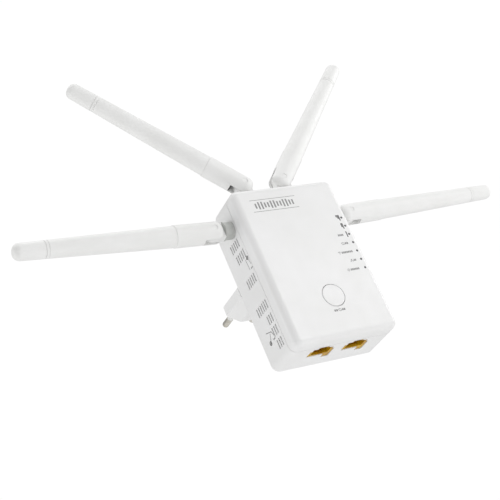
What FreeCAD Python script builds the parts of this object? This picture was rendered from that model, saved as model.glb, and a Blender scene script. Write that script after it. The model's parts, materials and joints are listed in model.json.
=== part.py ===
"""Plug-in wifi range extender with four hinged antennas and two network sockets.

Frame: millimetres, +Z up, +X to the right, front face towards -Y. The origin is midway
between the two mains pins, on the face of the plug that meets the wall socket.
Case parts are drawn in a case frame: X from the middle of the case, Y from the rear rim
(negative towards the front), Z from the underside. Their Placement carries them over.
"""
import FreeCAD
import Part
import Sketcher
import math
import os

V = FreeCAD.Vector
Y_AXIS = V(0, 1, 0)
DOC = FreeCAD.newDocument("range_extender")
SHEET = DOC.addObject("Spreadsheet::Sheet", "sizes")
NODES = []

SIZES = [
    # case shell
    ("case_width", 70.0), ("case_height", 102.0), ("case_depth", 33.5), ("wall", 2.0),
    ("corner_round", 4.5), ("inner_round", 3.0), ("front_round", 4.0), ("rear_round", 1.5),
    ("seam_depth", 8.8), ("seam_gap", 0.22), ("slope_deep", 8.0), ("slope_high", 14.0),
    # raised pad on the rear, and the plug that stands on it
    ("pad_width", 60.0), ("pad_low", 15.0), ("pad_high", 80.0), ("pad_out", 8.0),
    ("pad_corner", 4.0), ("pad_edge", 1.8), ("label_thick", 0.15),
    ("plug_left", 12.0), ("plug_level", 57.0), ("plug_length", 24.0), ("plug_width", 35.3),
    ("plug_thick", 17.0), ("plug_flat", 6.4), ("plug_slope", 7.6), ("plug_edge", 1.2),
    ("root_width", 29.0), ("root_height", 12.0),
    ("root_length", 4.0), ("pin_spacing", 19.0), ("pin_radius", 2.0), ("pin_length", 19.0),
    ("pin_metal", 9.0), ("pin_core", 1.45), ("pin_inside", 30.0), ("pin_dome", 1.5),
    ("insulation_radius", 1.8), ("insulation_root", 3.0), ("fit_gap", 0.03),
    # button and status lights on the front
    ("button_x", 1.1), ("button_z", 25.7), ("button_radius", 6.95), ("button_gap", 0.3),
    ("button_lip", 1.2), ("button_lip_thick", 1.0), ("button_rear_gap", 0.2),
    ("stem_radius", 2.0), ("stem_end", 29.3), ("light_x", 30.3), ("light_top", 74.4),
    ("light_pitch", 5.8), ("light_radius", 0.65), ("light_gap", 0.08), ("light_bar", 2.4),
    # network sockets in the underside
    ("port_x", 11.8), ("port_width", 16.0), ("port_deep", 13.2), ("port_high", 19.5),
    ("port_recess", 2.2), ("port_gap", 0.2), ("jack_width", 11.8), ("jack_deep", 6.7),
    ("jack_inside", 15.0), ("jack_back", 3.8), ("latch_wide", 5.8), ("latch_narrow", 3.4),
    ("latch_step", 0.7), ("nose_low", 0.4), ("nose_rear", 14.2), ("nose_corner", 10.6),
    ("nose_shoulder", 20.0), ("nose_step", 22.1), ("nose_front", 23.6), ("nose_wide", 13.2),
    ("nose_narrow", 7.0), ("corner_wide", 4.6), ("contact_pitch", 1.02), ("contact_radius", 0.23),
    # boards
    ("board_thick", 1.6), ("board_width", 62.0), ("board_low", 4.0), ("board_high", 95.0),
    ("board_rear", 24.4), ("power_width", 44.0), ("power_low", 24.0), ("power_high", 80.0),
    ("power_rear", 4.4),
    # screws and their bosses
    ("boss_radius", 3.0), ("boss_join", 22.2), ("boss_hole", 3.4), ("screw_radius", 1.1),
    ("screw_length", 16.0), ("head_radius", 2.3), ("head_thick", 1.6), ("screw_well", 12.0),
    ("low_screw_x", 27.0), ("low_screw_z", 9.0), ("top_screw_x", 22.5), ("top_screw_z", 90.0),
    # vents and pinholes in the side walls
    ("vent_length", 5.4), ("vent_width", 1.1), ("vent_pitch", 2.35), ("pinhole_radius", 0.8),
    ("reset_y", 22.6), ("reset_z", 63.0), ("latch_y", 10.2), ("latch_z", 14.0),
    # antennas, measured from the wall they stand on and from their hinge
    ("side_antenna_y", 18.2), ("side_antenna_z", 84.3), ("top_antenna_y", 15.6),
    ("top_antenna_x", 13.9), ("pivot_out", 12.9), ("antenna_reach", 117.3),
    ("collar_radius", 5.2), ("collar_top", 5.8), ("collar_edge", 0.5),
    ("socket_gap", 0.2), ("shaft_radius", 4.0), ("shaft_gap", 0.06), ("flange_radius", 5.4),
    ("flange_thick", 1.4), ("lead_bore", 1.3), ("lead_depth", 4.6), ("tongue_thick", 5.0),
    ("tongue_round", 5.0), ("fork_gap", 0.2), ("fork_end", 6.2), ("fork_round", 4.4),
    ("fork_deep", 6.3), ("knuckle_radius", 6.6), ("knuckle_bore", 2.6), ("parting", 24.5),
    ("spigot_radius", 4.0), ("spigot_length", 4.0), ("sleeve_base", 6.3), ("sleeve_end", 4.75),
    ("sleeve_bore", 3.4), ("cap_start", 100.0), ("cap_round", 3.6), ("cap_spigot", 3.3),
    ("groove_deep", 0.35), ("groove_wide", 0.7), ("groove_back", 1.9), ("hinge_radius", 1.5),
    ("hinge_gap", 0.05), ("hinge_short", 0.3), ("wire_radius", 0.7), ("radiator_radius", 2.2),
    ("lead_radius", 0.6), ("lead_inside", 3.0), ("connector_side", 3.2),
    ("top_left_tilt", 46.6), ("top_right_tilt", 43.8), ("side_left_lift", 2.2),
    ("side_right_lift", 1.5),
]

# Rows of vent slots: height above the underside, depth of the foremost slot, number of slots.
VENT_ROWS = [(75.0, 20.5, 5), (67.0, 22.2, 5), (50.6, 22.2, 5), (33.2, 22.4, 6),
             (24.8, 22.2, 3), (17.4, 22.2, 3), (9.8, 22.2, 3)]

# Where the case frame stands in the plug frame.
CASE = ("{plug_left}", "-({plug_length}+{pad_out})", "-{plug_level}")
PLUG = ("0", "0", "0")
LIGHT_COUNT = 7
CONTACT_COUNT = 8


def fill_sheet():
    """Puts every driving dimension in a cell of its own, under its own alias."""
    SHEET.Label = "sizes"
    for row, (alias, number) in enumerate(SIZES, start=1):
        SHEET.set("A%d" % row, alias)
        SHEET.set("B%d" % row, str(number))
        SHEET.setAlias("B%d" % row, alias)
    DOC.recompute()


def size(alias):
    """The value of one driving dimension."""
    return float(SHEET.get(alias))


def cells(text):
    """Turns each {alias} of an expression into a reference to the sheet."""
    return text.replace("{", "sizes.").replace("}", "")


def bind(thing, path, text):
    """Binds one property to an expression in the sheet's cells."""
    thing.setExpression(path, cells(text))


def place(thing, base, frame=CASE, axis=None, angle="0"):
    """Stands a sub-part at a point of the case frame or the plug frame, turned about an axis."""
    if axis is not None:
        thing.Placement = FreeCAD.Placement(V(), FreeCAD.Rotation(axis, 10))
        bind(thing, "Placement.Rotation.Angle", angle)
    for letter, offset, origin in zip("xyz", base, frame):
        bind(thing, "Placement.Base." + letter, "%s + (%s)" % (origin, offset))


def node(thing, label):
    """Names a finished sub-part and lists it for export."""
    thing.Label = label
    NODES.append(thing)
    return thing


# ---- PartDesign helpers -------------------------------------------------------------------

def new_body(label, base=("0", "0", "0"), frame=CASE, axis=None, angle="0"):
    body = DOC.addObject("PartDesign::Body", label + "_body")
    place(body, base, frame, axis, angle)
    return node(body, label)


def new_sketch(body, plane, offset="0"):
    """A sketch on one of the body's origin planes, moved along that plane's normal."""
    sketch = body.newObject("Sketcher::SketchObject", "outline")
    datum = [item for item in body.Origin.OriginFeatures if item.Role == plane][0]
    sketch.AttachmentSupport = [(datum, "")]
    sketch.MapMode = "FlatFace"
    bind(sketch, "AttachmentOffset.Base.z", offset)
    return sketch


def fix_point(sketch, line, point, x_text, y_text):
    """Ties a point of the sketch to its distances from the sketch's origin."""
    for kind, text in (("DistanceX", x_text), ("DistanceY", y_text)):
        index = sketch.addConstraint(Sketcher.Constraint(kind, -1, 1, line, point, 1.0))
        bind(sketch, "Constraints[%d]" % index, text)


def polygon(sketch, corners):
    """Closed outline of straight lines through corners given as expressions."""
    count = len(corners)
    first = sketch.GeometryCount
    ring = [V(math.cos(2 * math.pi * i / count), math.sin(2 * math.pi * i / count), 0) for i in range(count)]
    for i in range(count):
        sketch.addGeometry(Part.LineSegment(ring[i], ring[(i + 1) % count]))
    for i in range(count):
        following = first + (i + 1) % count
        sketch.addConstraint(Sketcher.Constraint("Coincident", first + i, 2, following, 1))
    for i, (x_text, y_text) in enumerate(corners):
        fix_point(sketch, first + i, 1, x_text, y_text)


def rectangle(sketch, left, low, right, high):
    polygon(sketch, [(left, low), (right, low), (right, high), (left, high)])


def circle(sketch, x_text, y_text, radius):
    line = sketch.addGeometry(Part.Circle(V(0, 0, 0), V(0, 0, 1), 1.0))
    fix_point(sketch, line, 3, x_text, y_text)
    index = sketch.addConstraint(Sketcher.Constraint("Radius", line, 1.0))
    bind(sketch, "Constraints[%d]" % index, radius)


def pad(body, sketch, length, back=False, middle=False):
    feature = body.newObject("PartDesign::Pad", "pad")
    feature.Profile = sketch
    feature.Reversed = back
    feature.Midplane = middle
    bind(feature, "Length", length)
    DOC.recompute()
    return feature


def pocket(body, sketch, length, back=False, middle=False):
    """Cuts the sketch into the body, and makes sure that it took material away."""
    before = body.Shape.Volume
    feature = body.newObject("PartDesign::Pocket", "pocket")
    feature.Profile = sketch
    feature.Reversed = back
    feature.Midplane = middle
    bind(feature, "Length", length)
    DOC.recompute()
    if feature.Shape.Volume > before - 1e-6:
        raise RuntimeError("a pocket of %s cuts nothing" % body.Label)
    return feature


def revolve(body, sketch):
    feature = body.newObject("PartDesign::Revolution", "turned")
    feature.Profile = sketch
    feature.ReferenceAxis = (sketch, ["V_Axis"])
    feature.Angle = 360
    DOC.recompute()
    return feature


def round_edges(body, radius, wanted):
    """Fillets those edges of the body's tip for which wanted(edge) is true."""
    tip = body.Tip
    names = ["Edge%d" % (i + 1) for i, edge in enumerate(tip.Shape.Edges)
             if not edge.Degenerated and wanted(edge)]
    feature = body.newObject("PartDesign::Fillet", "rounding")
    feature.Base = (tip, names)
    bind(feature, "Radius", radius)
    DOC.recompute()
    return feature


def runs_along(edge, direction):
    """True for a straight edge parallel to the direction."""
    if edge.Curve.TypeId != "Part::GeomLine":
        return False
    return abs(abs(edge.Curve.Direction.dot(direction)) - 1) < 1e-6


def all_at(edge, axis, level):
    """True when both ends and the middle of an edge lie on one level of an axis."""
    first, last = edge.ParameterRange
    points = [edge.valueAt(first), edge.valueAt((first + last) / 2), edge.valueAt(last)]
    return all(abs(getattr(point, axis) - level) < 1e-4 for point in points)


# ---- Part helpers -------------------------------------------------------------------------

def box(label, low, sizes, frame=CASE):
    """Plain block from its low corner; it becomes a node only when node() lists it."""
    block = DOC.addObject("Part::Box", label)
    for name, text in zip(("Length", "Width", "Height"), sizes):
        bind(block, name, text)
    place(block, low, frame)
    return block


def rod(label, base, radius, length, axis="y", frame=CASE):
    """Plain cylinder that runs in the positive direction of an axis from its base."""
    turn = {"x": (V(0, 1, 0), 90), "y": (V(1, 0, 0), -90), "z": (V(0, 0, 1), 0)}[axis]
    cylinder = DOC.addObject("Part::Cylinder", label)
    bind(cylinder, "Radius", radius)
    bind(cylinder, "Height", length)
    cylinder.Placement = FreeCAD.Placement(V(), FreeCAD.Rotation(*turn))
    place(cylinder, base, frame)
    return cylinder


def cut(label, base, tool):
    result = DOC.addObject("Part::Cut", label)
    result.Base = base
    result.Tool = tool
    return result


def group(label, pieces):
    """Several separate solids of one kind, kept as one node."""
    bundle = DOC.addObject("Part::Compound", label + "_group")
    bundle.Links = pieces
    return node(bundle, label)


# ---- case ---------------------------------------------------------------------------------

SCREWS = [("-{low_screw_x}", "{low_screw_z}"), ("{low_screw_x}", "{low_screw_z}"),
          ("-{top_screw_x}", "{top_screw_z}"), ("{top_screw_x}", "{top_screw_z}")]


def case_corner(edge):
    return runs_along(edge, Y_AXIS)


def front_cover():
    """Front shell: tray with rounded front edges, button hole, light holes and four bosses."""
    body = new_body("front_cover")
    seam = "{case_depth}-{seam_depth}"
    outline = new_sketch(body, "XZ_Plane", seam)
    rectangle(outline, "-{case_width}/2", "0", "{case_width}/2", "{case_height}")
    pad(body, outline, "{seam_depth}")
    round_edges(body, "{corner_round}", case_corner)
    round_edges(body, "{front_round}", lambda edge: all_at(edge, "y", -size("case_depth")))
    hollow = new_sketch(body, "XZ_Plane", seam)
    side = "({case_width}/2-{wall})"
    near = "({case_width}/2-{wall}-{inner_round})"
    polygon(hollow, [("-" + near, "{wall}"), (near, "{wall}"), (side, "{wall}+{inner_round}"),
                     (side, "{case_height}-{wall}-{inner_round}"), (near, "{case_height}-{wall}"),
                     ("-" + near, "{case_height}-{wall}"), ("-" + side, "{case_height}-{wall}-{inner_round}"),
                     ("-" + side, "{wall}+{inner_round}")])
    pocket(body, hollow, "{seam_depth}-{wall}", back=True)
    posts = new_sketch(body, "XZ_Plane", "{boss_join}")
    for x_text, z_text in SCREWS:
        circle(posts, x_text, z_text, "{boss_radius}")
    pad(body, posts, "{case_depth}-{boss_join}-{wall}/2")
    holes = new_sketch(body, "XZ_Plane", "{boss_join}")
    for x_text, z_text in SCREWS:
        circle(holes, x_text, z_text, "{screw_radius}+{fit_gap}")
    pocket(body, holes, "{screw_length}+{screw_well}-{boss_join}+1", back=True)
    openings = new_sketch(body, "XZ_Plane", "{case_depth}")
    circle(openings, "{button_x}", "{button_z}", "{button_radius}+{button_gap}")
    for i in range(LIGHT_COUNT):
        circle(openings, "{light_x}", "{light_top}-%d*{light_pitch}" % i, "{light_radius}+{light_gap}")
    pocket(body, openings, "{wall}+0.5")


def housing_blank(body):
    """Outside of the rear shell: sloping top rear edge and raised pad."""
    side = new_sketch(body, "YZ_Plane")
    front = "-({case_depth}-{seam_depth}-{seam_gap})"
    polygon(side, [(front, "0"), ("0", "0"), ("0", "{case_height}-{slope_high}"),
                   ("-{slope_deep}", "{case_height}"), (front, "{case_height}")])
    pad(body, side, "{case_width}", middle=True)
    round_edges(body, "{corner_round}", case_corner)
    front_y = -(size("case_depth") - size("seam_depth") - size("seam_gap"))
    round_edges(body, "{rear_round}", lambda edge: edge.BoundBox.YMin > front_y + 1 and not case_corner(edge))
    raised = new_sketch(body, "XZ_Plane", "{wall}")
    rectangle(raised, "-{pad_width}/2", "{pad_low}", "{pad_width}/2", "{pad_high}")
    pad(body, raised, "{wall}+{pad_out}", back=True)
    rim = size("pad_out")
    round_edges(body, "{pad_corner}", lambda edge: case_corner(edge) and edge.BoundBox.YMax > rim - 1e-4)
    round_edges(body, "{pad_edge}", lambda edge: all_at(edge, "y", rim))


def housing_hollow(body):
    """Inside of the rear shell, and the inside of its raised pad."""
    side = new_sketch(body, "YZ_Plane")
    front = "-{case_depth}"
    polygon(side, [(front, "{wall}"), ("-{wall}", "{wall}"),
                   ("-{wall}", "{case_height}-{slope_high}-{wall}/2"),
                   ("-{slope_deep}-{wall}/2", "{case_height}-{wall}"), (front, "{case_height}-{wall}")])
    pocket(body, side, "{case_width}-2*{wall}", middle=True)
    inside = size("case_width") / 2 - size("wall")
    round_edges(body, "{inner_round}",
                lambda edge: case_corner(edge) and abs(abs(edge.valueAt(0).x) - inside) < 1e-4)
    recess = new_sketch(body, "XZ_Plane", "{wall}")
    rectangle(recess, "-{pad_width}/2+{wall}", "{pad_low}+{wall}",
              "{pad_width}/2-{wall}", "{pad_high}-{wall}")
    pocket(body, recess, "{pad_out}")


def housing_side_openings(body):
    """Vent slots in both side walls, two pinholes in the left wall, holes for the antennas."""
    for height, depth, count in VENT_ROWS:
        slots = new_sketch(body, "YZ_Plane")
        for i in range(count):
            near = "-%g+%d*{vent_pitch}" % (depth, i)
            rectangle(slots, near, "%g-{vent_length}/2" % height,
                      near + "+{vent_width}", "%g+{vent_length}/2" % height)
        pocket(body, slots, "{case_width}+2", middle=True)
    pinholes = new_sketch(body, "YZ_Plane", "{wall}+1-{case_width}/2")
    circle(pinholes, "-{reset_y}", "{reset_z}", "{pinhole_radius}")
    circle(pinholes, "-{latch_y}", "{latch_z}", "{pinhole_radius}")
    pocket(body, pinholes, "{wall}+2")
    side_shafts = new_sketch(body, "YZ_Plane")
    circle(side_shafts, "-{side_antenna_y}", "{side_antenna_z}", "{shaft_radius}+{shaft_gap}")
    pocket(body, side_shafts, "{case_width}+2", middle=True)
    top_shafts = new_sketch(body, "XY_Plane", "{case_height}-{wall}-1")
    for sign in ("-", ""):
        circle(top_shafts, sign + "{top_antenna_x}", "-{top_antenna_y}", "{shaft_radius}+{shaft_gap}")
    pocket(body, top_shafts, "{wall}+2", back=True)


def port_outline(sketch, middle, shift, grow):
    """Outline of a network port, grown all round: stepped towards the front, one corner at the rear right."""
    side = "({port_width}/2+%s)" % grow
    corner = "({port_width}/2-{corner_wide}-%s)" % grow
    rear, deep = "({nose_rear}-%s)" % grow, "({nose_corner}-%s)" % grow
    steps = [("({%s}/2+%s)" % (half, grow), "({%s}+%s)" % (depth, grow))
             for half, depth in (("port_width", "nose_shoulder"), ("nose_wide", "nose_shoulder"),
                                 ("nose_wide", "nose_step"), ("nose_narrow", "nose_step"),
                                 ("nose_narrow", "nose_front"))]
    points = [("-" + side, rear), ("+" + corner, rear), ("+" + corner, deep), ("+" + side, deep)]
    points += [("+" + across, depth) for across, depth in steps]
    points += [("-" + across, depth) for across, depth in reversed(steps)]
    polygon(sketch, [(middle + across, shift + "-" + depth) for across, depth in points])


def port_windows(body):
    """One window in the underside for each network socket."""
    windows = new_sketch(body, "XY_Plane")
    for middle in ("-{port_x}", "{port_x}"):
        port_outline(windows, middle, "0", "{port_gap}")
    pocket(body, windows, "{wall}+0.5", back=True)


def rear_housing():
    """Rear shell: vents, port windows, plug opening, screw wells."""
    body = new_body("rear_housing")
    housing_blank(body)
    housing_hollow(body)
    housing_side_openings(body)
    port_windows(body)
    plug_hole = new_sketch(body, "XZ_Plane", "-{pad_out}")
    half_width = "({root_width}/2+{port_gap})"
    half_height = "({root_height}/2+{port_gap})"
    rectangle(plug_hole, "-{plug_left}-" + half_width, "{plug_level}-" + half_height,
              "-{plug_left}+" + half_width, "{plug_level}+" + half_height)
    pocket(body, plug_hole, "{wall}+0.5", back=True)
    for screws, end in ((SCREWS[:2], "{wall}/2"), (SCREWS[2:], "2*{wall}")):
        posts = new_sketch(body, "XZ_Plane", "{boss_join}-{port_gap}")
        for x_text, z_text in screws:
            circle(posts, x_text, z_text, "{boss_radius}+0.4")
        pad(body, posts, "{boss_join}-{port_gap}-" + end, back=True)
    wells = new_sketch(body, "XZ_Plane", "{screw_well}")
    shanks = new_sketch(body, "XZ_Plane", "{boss_join}")
    for x_text, z_text in SCREWS:
        circle(wells, x_text, z_text, "{head_radius}+0.2")
        circle(shanks, x_text, z_text, "{screw_radius}+0.15")
    pocket(body, wells, "{screw_well}+1")
    pocket(body, shanks, "{boss_join}")


def case_screws():
    """Four self-tapping screws: a head with a cross recess, and a shank."""
    screws = []
    for i, (x_text, z_text) in enumerate(SCREWS):
        head = rod("screw_head_%d" % i, (x_text, "-{screw_well}", z_text), "{head_radius}", "{head_thick}")
        arms = [box("arm_%d_%d" % (i, turn),
                    (x_text + "-" + wide, "-{screw_well}+{head_thick}/2", z_text + "-" + high),
                    ("2*" + wide, "{head_thick}", "2*" + high))
                for turn, (wide, high) in enumerate([("1.3", "0.25"), ("0.25", "1.3")])]
        recess = DOC.addObject("Part::MultiFuse", "recess_%d" % i)
        recess.Shapes = arms
        shank = rod("screw_shank_%d" % i, (x_text, "-{screw_well}-{screw_length}", z_text),
                    "{screw_radius}", "{screw_length}+{head_thick}/4")
        screw = DOC.addObject("Part::Fuse", "screw_%d" % i)
        screw.Base = cut("screw_top_%d" % i, head, recess)
        screw.Tool = shank
        screws.append(screw)
    group("case_screws", screws)


def rating_label():
    """Blank label on the raised pad, beside the plug."""
    plate = box("label_plate", ("{pad_width}/2-20", "{pad_out}", "{pad_low}+8"),
                ("16", "{label_thick}", "{pad_high}-{pad_low}-16"))
    node(plate, "rating_label")


# ---- plug ---------------------------------------------------------------------------------

def plug_body():
    """Moulded flat plug that stands on the pad, and its root that passes through the pad."""
    body = new_body("plug_body", frame=PLUG)
    outline = new_sketch(body, "XZ_Plane")
    wide = "{plug_width}/2"
    flat = "{plug_flat}/2"
    narrow = "({plug_width}/2-{plug_slope})"
    high = "{plug_thick}/2"
    polygon(outline, [(wide, "-" + flat), (wide, flat), (narrow, high), ("-" + narrow, high),
                      ("-" + wide, flat), ("-" + wide, "-" + flat),
                      ("-" + narrow, "-" + high), (narrow, "-" + high)])
    pad(body, outline, "{plug_length}")
    round_edges(body, "{plug_edge}", lambda edge: edge.BoundBox.YMax > -1e-4)
    root = new_sketch(body, "XZ_Plane", "{plug_length}-1")
    rectangle(root, "-{root_width}/2", "-{root_height}/2", "{root_width}/2", "{root_height}/2")
    pad(body, root, "1+{root_length}")
    for radius, depth in (("{pin_core}", "{plug_length}+{root_length}+1"),
                          ("{insulation_radius}", "{insulation_root}")):
        bores = new_sketch(body, "XZ_Plane")
        for sign in ("-", ""):
            circle(bores, sign + "{pin_spacing}/2", "0", radius + "+{fit_gap}")
        pocket(body, bores, depth, back=True)


def plug_pins():
    """Two solid pins with domed tips, and the insulating sleeve on each."""
    sleeves = []
    for side, sign in (("left", "-"), ("right", "")):
        middle = sign + "{pin_spacing}/2"
        body = new_body("plug_pin_" + side, (middle, "0", "0"), PLUG)
        profile = new_sketch(body, "XY_Plane")
        shoulder = "{pin_length}-{pin_metal}"
        polygon(profile, [("0", "-{pin_inside}"), ("{pin_core}", "-{pin_inside}"),
                          ("{pin_core}", shoulder), ("{pin_radius}", shoulder),
                          ("{pin_radius}", "{pin_length}"), ("0", "{pin_length}")])
        revolve(body, profile)
        round_edges(body, "{pin_dome}", lambda edge: all_at(edge, "y", size("pin_length")))
        root = (middle, "-{insulation_root}", "0")
        reach = shoulder + "+{insulation_root}"
        outer = rod("sleeve_outer_" + side, root, "{insulation_radius}", reach, frame=PLUG)
        inner = rod("sleeve_inner_" + side, root, "{pin_core}+{fit_gap}", reach, frame=PLUG)
        sleeves.append(cut("sleeve_" + side, outer, inner))
    group("pin_sleeves", sleeves)


# ---- button and lights --------------------------------------------------------------------

def wps_button():
    """Round push button: cap, retaining lip behind the cover, and stem towards its switch."""
    body = new_body("wps_button", ("{button_x}", "0", "{button_z}"))
    cap = new_sketch(body, "XZ_Plane", "{case_depth}-{wall}-{button_rear_gap}-0.1")
    circle(cap, "0", "0", "{button_radius}")
    pad(body, cap, "{wall}+{button_rear_gap}+0.25")
    round_edges(body, "0.3", lambda edge: all_at(edge, "y", -size("case_depth") - 0.15))
    lip_front = "{case_depth}-{wall}-{button_rear_gap}"
    lip = new_sketch(body, "XZ_Plane", lip_front)
    circle(lip, "0", "0", "{button_radius}+{button_lip}")
    pad(body, lip, "{button_lip_thick}", back=True)
    stem = new_sketch(body, "XZ_Plane", lip_front)
    circle(stem, "0", "0", "{stem_radius}")
    pad(body, stem, lip_front + "-{stem_end}", back=True)


def tact_switch():
    """Switch under the button: square can on the board with a round actuator."""
    front = "-({board_rear}+{board_thick})"
    can = box("switch_can", ("{button_x}-3", front + "-2.2", "{button_z}-3"), ("6", "2.2", "6"))
    actuator = rod("switch_actuator", ("{button_x}", front + "-2.7", "{button_z}"), "1.6", "1")
    switch = DOC.addObject("Part::Fuse", "tact_switch")
    switch.Base = can
    switch.Tool = actuator
    node(switch, "wps_switch")


def reset_switch():
    """Side-acting switch behind the pinhole, and the plunger that a pin pushes."""
    length = "3.9"
    can_x = "-{case_width}/2+{wall}+0.6"
    can = box("reset_can", (can_x, "-{board_rear}", "{reset_z}-3"), (length, "3.6", "6"))
    bore = rod("reset_bore", (can_x + "-1", "-{reset_y}", "{reset_z}"), "0.65", "3.4", "x")
    node(cut("reset_shell", can, bore), "reset_switch")
    plunger = rod("reset_pin", ("-{case_width}/2+{wall}+0.15", "-{reset_y}", "{reset_z}"), "0.6", "2.3", "x")
    node(plunger, "reset_plunger")


def light_guide():
    """Clear bar behind the cover with seven light pipes that reach the front face."""
    bar_front = "{case_depth}-{wall}-0.1"
    solids = [box("guide_bar", ("{light_x}-{light_bar}/2", "-(" + bar_front + ")",
                                "{light_top}-%d*{light_pitch}-2" % (LIGHT_COUNT - 1)),
                  ("{light_bar}", "2", "%d*{light_pitch}+4" % (LIGHT_COUNT - 1)))]
    for i in range(LIGHT_COUNT):
        solids.append(rod("guide_pipe_%d" % i,
                          ("{light_x}", "-{case_depth}+0.05", "{light_top}-%d*{light_pitch}" % i),
                          "{light_radius}", "{wall}+1"))
    guide = DOC.addObject("Part::MultiFuse", "guide")
    guide.Shapes = solids
    node(guide, "light_guide")


def status_leds():
    """Seven surface-mount lights on the board, one behind each pipe."""
    front = "-({board_rear}+{board_thick})"
    chips = [box("led_%d" % i, ("{light_x}-0.8", front + "-0.7", "{light_top}-%d*{light_pitch}-0.5" % i),
                 ("1.6", "0.7", "1")) for i in range(LIGHT_COUNT)]
    group("status_leds", chips)


# ---- network sockets ----------------------------------------------------------------------

def lan_socket(side, sign):
    """Upright network jack: housing, nose in the window, plug cavity and the stepped slot for the latch."""
    body = new_body("lan_socket_" + side, (sign + "{port_x}", "-{board_rear}", "{nose_low}"))
    nose = new_sketch(body, "XY_Plane")
    port_outline(nose, "0", "{board_rear}", "0")
    pad(body, nose, "{port_recess}-{nose_low}+0.5")
    shell = new_sketch(body, "XY_Plane", "{port_recess}-{nose_low}")
    rectangle(shell, "-{port_width}/2", "0", "{port_width}/2", "{port_deep}")
    pad(body, shell, "{port_high}")
    rear = "({port_deep}-{jack_back})"
    steps = [("{jack_width}", rear + "-{jack_deep}", rear, "{jack_inside}"),
             ("{latch_wide}", rear + "-{jack_deep}-{latch_step}", rear, "{jack_inside}*0.8"),
             ("{latch_narrow}", rear + "-{jack_deep}-2*{latch_step}", rear, "{jack_inside}*0.6")]
    for width, low, high, depth in steps:
        cavity = new_sketch(body, "XY_Plane")
        rectangle(cavity, "-%s/2" % width, low, "%s/2" % width, high)
        pocket(body, cavity, depth, back=True)


def lan_contacts():
    """Eight gold wires along the rear wall of each jack."""
    inner_wall = "-({board_rear}-{port_deep}+{jack_back})"
    wires = []
    for side, sign in (("left", "-"), ("right", "")):
        for i in range(CONTACT_COUNT):
            offset = "%g*{contact_pitch}" % (i - (CONTACT_COUNT - 1) / 2)
            wires.append(rod("contact_%s_%d" % (side, i),
                             (sign + "{port_x}+" + offset, inner_wall + "-{contact_radius}-0.05",
                              "{port_recess}+1"),
                             "{contact_radius}", "{jack_inside}-4", "z"))
    group("lan_contacts", wires)


# ---- main board ---------------------------------------------------------------------------

def main_board():
    """Upright main board with holes for the four front bosses."""
    board = box("board_blank", ("-{board_width}/2", "-({board_rear}+{board_thick})", "{board_low}"),
                ("{board_width}", "{board_thick}", "{board_high}-{board_low}"))
    holes = DOC.addObject("Part::Compound", "board_holes")
    holes.Links = [rod("board_hole_%d" % i, (x_text, "-({board_rear}+{board_thick})-1", z_text),
                       "{boss_hole}", "{board_thick}+2") for i, (x_text, z_text) in enumerate(SCREWS)]
    node(cut("drilled_board", board, holes), "main_board")


def on_rear(label, x, z, width, height, thick, lift="0"):
    """Block on the rear face of the main board, from its low corner."""
    return box(label, (x, "-{board_rear}+" + lift, z), (width, thick, height))


def board_parts():
    """Chips, shield can, heat sink and transformers of the main board."""
    node(on_rear("processor_block", "-9", "44", "14", "14", "1.2"), "processor")
    group("memory_chips", [on_rear("ram_block", "9", "46", "9", "12", "1.1"),
                           on_rear("flash_block", "10", "38", "6", "5", "1.5")])
    group("radio_chips", [on_rear("radio_low_block", "-14", "70", "8", "8", "0.9"),
                          on_rear("radio_high_block", "6", "70", "8", "8", "0.9")])
    can = on_rear("can_block", "-18", "64", "36", "18", "2.2")
    inside = on_rear("can_hollow", "-17.8", "64.2", "35.6", "17.6", "2.0", "-0.01")
    node(cut("can_shell", can, inside), "shield_can")
    fins = [on_rear("sink_plate", "-10", "43", "16", "16", "0.8", "1.3")]
    for i in range(6):
        fins.append(on_rear("sink_fin_%d" % i, "-10+%g" % (i * 3.0), "43", "1", "16", "1.6", "2"))
    sink = DOC.addObject("Part::MultiFuse", "sink")
    sink.Shapes = fins
    node(sink, "heat_sink")
    front = "-({board_rear}+{board_thick})"
    group("lan_magnetics", [box("magnetics_%d" % i, (middle + "-6", front + "-3.3", "33.5"),
                                ("12", "3.3", "9"))
                            for i, middle in enumerate(("-{port_x}", "{port_x}"))])


def antenna_leads():
    """Straight coaxial lead from inside each antenna socket to its own connector on the board."""
    leads = []
    connectors = []
    reach = "{wall}+{lead_inside}+8"
    half = "-{connector_side}/2"
    top_end = "{case_height}-{wall}-8"
    for name, sign in (("left", "-"), ("right", "")):
        x_text = sign + "{top_antenna_x}"
        leads.append(rod("top_lead_" + name, (x_text, "-{top_antenna_y}", top_end),
                         "{lead_radius}", reach, "z"))
        connectors.append((x_text + half, top_end + "-{connector_side}-0.05", "{top_antenna_y}"))
    inner_end = "({case_width}/2-{wall}-8)"
    for name, start, spot in (("left", "-" + inner_end + "-(" + reach + ")", "-" + inner_end + "+0.05"),
                              ("right", inner_end, inner_end + "-{connector_side}-0.05")):
        leads.append(rod("side_lead_" + name, (start, "-{side_antenna_y}", "{side_antenna_z}"),
                         "{lead_radius}", reach, "x"))
        connectors.append((spot, "{side_antenna_z}" + half, "{side_antenna_y}"))
    group("antenna_leads", leads)
    group("rf_connectors", [on_rear("rf_connector_%d" % i, x, z, "{connector_side}", "{connector_side}",
                                    "{board_rear}-%s+{lead_radius}/2" % depth)
                            for i, (x, z, depth) in enumerate(connectors)])


# ---- power supply -------------------------------------------------------------------------

def power_part(label, x, z, width, height, thick):
    """Block on the front side of the power board, from its low corner."""
    front = "-({power_rear}+{board_thick})"
    return box(label, (x, front + "-" + thick, z), (width, thick, height))


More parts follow.
